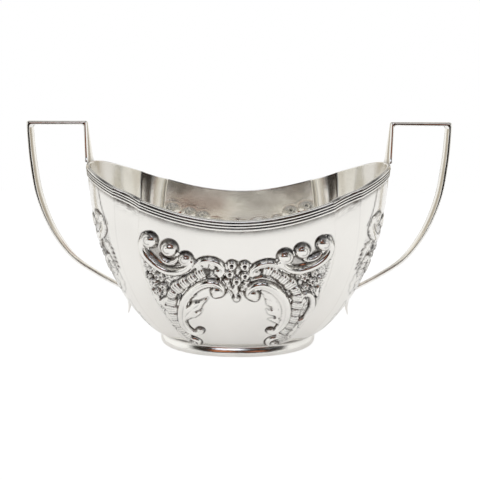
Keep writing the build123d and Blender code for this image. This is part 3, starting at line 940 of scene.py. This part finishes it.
# handles: one flat strip with rounded edges, in mitred and soldered lengths
strip = {
    "thickness": 1.4,
    "edgeRound": 0.22,       # rounding of the inner edges
    "edgeFlat": 1,         # height of the upright edge below the swelling outer face
    "top": 88.2,
    "rootRim": 57.2,         # bowl side of the root, at the rim and at the top
    "rootTop": 58.1,
    "cornerOut": 81.3,
    "outerRound": 0.8,
    "rootFillet": 0.9,
    "strapFillet": 1.3,
    "rootWidths": (4.6, 1.5),            # half widths at the rim and at the top
    "rootSplay": (0.35, 0.8, 0.7),       # extra half width at the rim, its height and reach
    # painted shade at the foot of the root where it meets the rim: strength and how fast it fades upward
    "rootDark": (0.7, 16),
    "barWidths": (1.5, 2.5),
    "strapPath": [(81.3, 86.8), (81, 73.4), (79.2, 57.8), (74, 43.4), (66.8, 33.2), (57.3, 26.3),
                  (45.4, 19.6)],
    "strapWidths": [(18, 1.15), (30, 1.6), (40, 2.4), (55, 3), (70, 2.85), (88.2, 2.5)],
    # painted shade where the strap meets the wall: strength and reach in millimetres
    "strapDark": (0.8, 1.5),
    "sunkInWall": 0.45,      # how far the strap and tail may enter the wall
    "sunkInRim": 0.15,
    "tailOuter": [(47.9, 21.4), (45.9, 17.4), (45.2, 13.8), (45.5, 10.4)],
    "tailInner": [(45.2, 21.6), (44.2, 17.4), (44.1, 13.8), (45.1, 10.4)],
    "tailWidths": [(10, 0.5), (17, 1.2), (25, 1.4)],
}


def cornerArc(before, corner, after, radius, steps=6):
    # points round a filleted corner
    before, corner, after = (np.array(p, float) for p in (before, corner, after))
    back, ahead = (before - corner), (after - corner)
    back, ahead = back / np.linalg.norm(back), ahead / np.linalg.norm(ahead)
    half = np.arccos(np.clip(back @ ahead, -1, 1)) / 2
    centre = corner + (back + ahead) / np.linalg.norm(back + ahead) * radius / sin(half)
    start, finish = corner + back * radius / tan(half), corner + ahead * radius / tan(half)
    sweep = []
    for k in range(steps + 1):
        arm = (start - centre) * (1 - k / steps) + (finish - centre) * k / steps
        sweep.append(centre + arm / np.linalg.norm(arm) * radius)
    return sweep


def stripSections(outer, inner, widths):
    # half-round on the outer side of the strip, flat on the inner side
    sections = []
    for (ox, oz), (ix, iz), half in zip(outer, inner, widths):
        thick = hypot(ox - ix, oz - iz)
        outward = np.array([(ox - ix) / thick, (oz - iz) / thick])
        flat = min(strip["edgeFlat"], thick * 0.5)
        r = min(strip["edgeRound"], half * 0.4)
        ring = []
        for turn in np.linspace(0, pi, 15):          # swelling outer face
            ring.append((half * cos(turn), flat + (thick - flat) * sin(turn) ** 0.9))
        for side, turns in ((-1, (0.0, 0.5, 1.0)), (1, (1.0, 0.5, 0.0))):
            for turn in turns:                       # soft inner edges
                ring.append((side * (half - r + r * cos(turn * pi / 2)), r - r * sin(turn * pi / 2)))
        for y, t in ring:
            sections.append((ix + outward[0] * t, y, iz + outward[1] * t))
    count = len(ring)
    return np.array(sections).reshape(-1, count, 3), count


def makeStrip(name, node, outer, inner, widths, paintedShade, seat=None):
    sections, around = stripSections(outer, inner, widths)
    rows = len(sections)
    if seat is not None:
        sections = seat(sections)
    for side, sign in (("right", 1), ("left", -1)):
        points = sections.reshape(-1, 3) * (sign, 1, 1)
        faces = gridFaces(rows, around, flip=sign > 0)
        ends = endCaps(rows, around)
        faces += ends if sign > 0 else [face[::-1] for face in ends]
        makePiece(f"{name}_{side}", points, faces, np.repeat(paintedShade, around), handleSilver,
                  [f"{node}_{side}"])


def between(first, last, count):
    # evenly spaced points from one place up to, but not at, another
    return [first + (last - first) * t for t in np.linspace(0, 1, count)[:-1]]


def resampled(path, count):
    # the same path with a set number of points
    at = np.linspace(0, 1, len(path))
    return [tuple(float(np.interp(t, at, path[:, k])) for k in (0, 1)) for t in np.linspace(0, 1, count)]


def makeHandles():
    thick = strip["thickness"]
    seat = float(rimHeight(np.array(strip["rootRim"])))
    lean = (strip["rootTop"] - strip["rootRim"]) / (strip["top"] - seat)
    low, high = np.array([strip["rootRim"], seat]), np.array([strip["rootTop"], strip["top"]])
    corner = (strip["cornerOut"], strip["top"])
    lowIn = np.array([strip["rootRim"] + thick, seat])
    highIn = (strip["rootTop"] + thick * (1 - lean), strip["top"] - thick)
    cornerIn = (strip["cornerOut"] - thick, strip["top"] - thick)
    # strap lines, outer and inner
    path = smoothPath(strip["strapPath"], 1.2)
    ahead = np.gradient(path, axis=0)
    ahead /= np.linalg.norm(ahead, axis=1, keepdims=True)
    inside = path + np.stack([ahead[:, 1], -ahead[:, 0]], axis=1) * thick
    rootArc = cornerArc(low, high, corner, strip["outerRound"])
    rootArcIn = cornerArc(lowIn, highIn, cornerIn, strip["rootFillet"])
    strapArc = cornerArc(high, corner, path[1], strip["outerRound"])
    strapArcIn = cornerArc(highIn, cornerIn, inside[2], strip["strapFillet"])
    middle = len(rootArc) // 2
    # root
    rootOut = between(low, rootArc[0], 22) + rootArc[:middle + 1]
    rootIn = between(lowIn, rootArcIn[0], 22) + rootArcIn[:middle + 1]
    wide, narrow = strip["rootWidths"]
    extra, height, reach = strip["rootSplay"]
    share = np.clip([(p[1] - seat) / (strip["top"] - seat) for p in rootOut], 0, 1)
    widths = wide + (narrow - wide) * share + extra * nearTo(share * (strip["top"] - seat), height, reach)
    strength, fall = strip["rootDark"]

    def onRim(sections):
        sections[0, :, 2] = rimHeight(sections[0, :, 0]) - strip["sunkInRim"]
        return sections
    makeStrip("root", "handle_root", rootOut, rootIn, widths, strength * np.exp(-share * fall), onRim)
    # bar
    barOut = rootArc[middle:] + between(rootArc[-1], strapArc[0], 18)[1:] + strapArc[:middle + 1]
    barIn = rootArcIn[middle:] + between(rootArcIn[-1], strapArcIn[0], 18)[1:] + strapArcIn[:middle + 1]
    first, last = strip["barWidths"]
    length = strip["cornerOut"] - strip["rootTop"]
    share = np.clip([(p[0] - strip["rootTop"]) / length for p in barOut], 0, 1)
    makeStrip("bar", "handle_bar", barOut, barIn, first + (last - first) * share, np.zeros(len(barOut)))
    # strap
    keep = [k for k in range(len(path))
            if path[k][1] < strapArc[-1][1] - 0.6 and inside[k][1] < strapArcIn[-1][1] - 0.4]
    strapOut = strapArc[middle:] + [path[k] for k in keep]
    strapIn = strapArcIn[middle:] + [inside[k] for k in keep]
    widths = smoothRead(strip["strapWidths"], [p[1] for p in strapOut])
    strength, reach = strip["strapDark"]
    jointX, jointZ = strip["strapPath"][-1]
    paintedShade = [strength * float(np.exp(-hypot(p[0] - jointX, p[1] - jointZ) / reach)) for p in strapOut]

    def onWall(sections):
        x, y, z = sections[..., 0], sections[..., 1], sections[..., 2]
        face = halfLength(z) * ovalOther(y / halfWidth(z))
        sections[..., 0] = np.maximum(x, face - strip["sunkInWall"])
        return sections
    makeStrip("strap", "handle_strap", strapOut, strapIn, widths, paintedShade, onWall)
    # tail leaf
    tailOut, tailIn = smoothPath(strip["tailOuter"], 0.7), smoothPath(strip["tailInner"], 0.7)
    count = min(len(tailOut), len(tailIn))
    tailOut, tailIn = resampled(tailOut, count), resampled(tailIn, count)
    widths = smoothRead(strip["tailWidths"], [p[1] for p in tailOut])
    # painted shade at the top of the tail, by the joint with the strap
    paintedShade = 0.5 * (1 - np.linspace(0, 1, count)) ** 3
    makeStrip("tail", "handle_tail", tailOut, tailIn, widths, paintedShade, onWall)


makeHandles()
print("handles made")


# floor, room light and camera
studio = {
    "table": (-0.55, 0.55, -0.27, 0.42),     # left, right, front and back edge, metres
    "tableColour": (0.93, 0.93, 0.93, 1),
    "glow": (1.06, 0.85),    # the table's own white, and its share when looked at
    "overhead": 0.15,        # soft light that shades the table under the bowl
    "fill": 1.38,            # light that only lifts the table to white
    "sky": [                 # height of the direction, colour of the room there
        (-1.0, (0.5, 0.46, 0.4)), (-0.06, (0.5, 0.46, 0.4)), (0.0, (1.0, 1.0, 0.98)),
        (0.2, (0.9, 0.89, 0.87)), (0.4, (0.35, 0.33, 0.3)), (0.55, (0.05, 0.045, 0.04)),
        (0.88, (0.02, 0.02, 0.022)), (0.93, (1.0, 1.0, 1.0)),
    ],
    "patches": [             # azimuth from the front, elevation, half width, half height, softness, colour
        (90, 20, 40, 22, 0.12, (0.98, 0.98, 0.97)),
        (-90, 20, 40, 22, 0.12, (0.98, 0.98, 0.97)),
        (180, 8, 40, 20, 0.05, (0.48, 0.44, 0.37)),
        (180, 17, 34, 8, 0.02, (0.86, 0.83, 0.76)),
        (180, 2, 19, 12, 0.03, (0.98, 0.96, 0.92)),
        (166, 11.6, 9, 2.2, 0.008, (0.22, 0.09, 0.06)),
        (187, 10.8, 8, 1.4, 0.008, (0.08, 0.07, 0.06)),
        (185, 18.8, 8, 2.0, 0.008, (0.26, 0.26, 0.31)),
        (158, 16.6, 5, 1.0, 0.01, (0.48, 0.32, 0.25)),
        (144, 10, 3, 14, 0.03, (0.36, 0.29, 0.21)),
        (-146, 10, 2.5, 14, 0.03, (0.55, 0.48, 0.37)),
        (0, 36, 43, 20, 0.04, (0.022, 0.018, 0.015)),
        (0, 13, 34, 13, 0.02, (0.022, 0.018, 0.015)),
        (0, -9, 56, 10, 0.02, (0.022, 0.018, 0.015)),
        (-13, 20, 8, 8, 0.03, (0.46, 0.17, 0.08)),
        (15, 18, 8, 6, 0.03, (0.40, 0.15, 0.08)),
        (-7, 40, 9, 6, 0.04, (2.0, 2.1, 2.35)),
        (34, 44, 7, 5, 0.05, (1.4, 1.45, 1.6)),
    ],
}


def makeTable():
    left, right, front, back = studio["table"]
    mesh = bpy.data.meshes.new("table_top")
    corners = [(left, front, 0), (right, front, 0), (right, back, 0), (left, back, 0)]
    mesh.from_pydata(corners, [], [(0, 1, 2, 3)])
    material = bpy.data.materials.new("whiteTable")
    material.use_nodes = True
    tree = material.node_tree
    shader = tree.nodes["Principled BSDF"]
    for name, value in (("Base Color", studio["tableColour"]), ("Roughness", 0.9),
                        ("Specular IOR Level", 0.0)):
        feed(tree, shader.inputs[name], value)
    strength, share = studio["glow"]
    white = nodeOf(tree, "ShaderNodeEmission", {"Strength": strength})
    ray = nodeOf(tree, "ShaderNodeLightPath")
    share = maths(tree, "MULTIPLY", ray.outputs["Is Camera Ray"], share)
    seen = nodeOf(tree, "ShaderNodeMixShader", {0: share, 1: shader.outputs[0], 2: white.outputs[0]})
    feed(tree, tree.nodes["Material Output"].inputs["Surface"], seen.outputs[0])
    mesh.materials.append(material)
    table = bpy.data.objects.new("table_top", mesh)
    bpy.context.scene.collection.objects.link(table)


def facing(tree, place, way):
    # how far a direction points one way
    aim = nodeOf(tree, "ShaderNodeVectorMath", {0: place, 1: way}, operation="DOT_PRODUCT")
    return aim.outputs["Value"]


def makeRoom():
    world = bpy.data.worlds.new("room")
    bpy.context.scene.world = world
    world.use_nodes = True
    tree = world.node_tree
    tree.nodes.clear()
    place = nodeOf(tree, "ShaderNodeTexCoord").outputs["Generated"]
    height = nodeOf(tree, "ShaderNodeSeparateXYZ", {0: place}).outputs["Z"]
    ramp = nodeOf(tree, "ShaderNodeValToRGB", {"Fac": spread(tree, height, -1, 1, 0, 1)})
    stops = ramp.color_ramp.elements
    stops.remove(stops[-1])
    stops[0].color = (*studio["sky"][0][1], 1)
    for height, colour in studio["sky"][1:]:
        stops.new((height + 1) / 2).color = (*colour, 1)
    current = ramp.outputs["Color"]
    for azimuth, elevation, wide, tall, soft, colour in studio["patches"]:
        turn = radians(azimuth)
        masks = []
        for way, middle, reach in (((cos(turn), sin(turn), 0), 0, wide),
                                   ((0, 0, 1), sin(radians(elevation)), tall)):
            off = maths(tree, "ABSOLUTE", maths(tree, "SUBTRACT", facing(tree, place, way), middle))
            edge = sin(radians(reach))
            masks.append(spread(tree, off, edge + soft, edge - soft, 0, 1))
        ahead = spread(tree, facing(tree, place, (sin(turn), -cos(turn), 0)), 0, 0.05, 0, 1)
        mask = maths(tree, "MULTIPLY", maths(tree, "MULTIPLY", *masks), ahead)
        current = mixed(tree, mask, current, (*colour, 1))
    ray = nodeOf(tree, "ShaderNodeLightPath").outputs["Is Camera Ray"]
    back = nodeOf(tree, "ShaderNodeBackground", {"Color": mixed(tree, ray, current, (1.0, 1.0, 1.0, 1))})
    nodeOf(tree, "ShaderNodeOutputWorld", {"Surface": back.outputs["Background"]})


def makeLights():
    for name, shaded in (("overhead", True), ("fill", False)):
        lamp = bpy.data.lights.new(name, "SUN")
        lamp.energy = studio[name]
        lamp.angle = radians(70)
        lamp.use_shadow = shaded
        light = bpy.data.objects.new(name, lamp)
        light.visible_glossy = False
        bpy.context.scene.collection.objects.link(light)


view = {
    "place": (3.5, -225.1, 93.3),    # mm
    "pitch": 0.226,                  # down, radians
    "yaw": -0.012,
    "roll": -0.004,
    "lens": 43.12,
}


def makeCamera():
    yaw, pitch, roll = view["yaw"], view["pitch"], view["roll"]
    forward = Vector((sin(yaw) * cos(pitch), cos(yaw) * cos(pitch), -sin(pitch)))
    right = Vector((cos(yaw), -sin(yaw), 0))
    down = forward.cross(right)
    across = cos(roll) * right + sin(roll) * down
    below = -sin(roll) * right + cos(roll) * down
    turn = Matrix((across, -below, -forward)).transposed().to_4x4()
    camera = bpy.data.cameras.new("camera")
    camera.lens = view["lens"]
    camera.sensor_width = 36
    camera.clip_start = 0.01
    holder = bpy.data.objects.new("camera", camera)
    holder.matrix_world = Matrix.Translation(Vector(view["place"]) * mm) @ turn
    bpy.context.scene.collection.objects.link(holder)
    bpy.context.scene.camera = holder


makeTable()
makeRoom()
makeLights()
makeCamera()
bpy.context.scene.view_settings.view_transform = "Standard"
print("studio made")
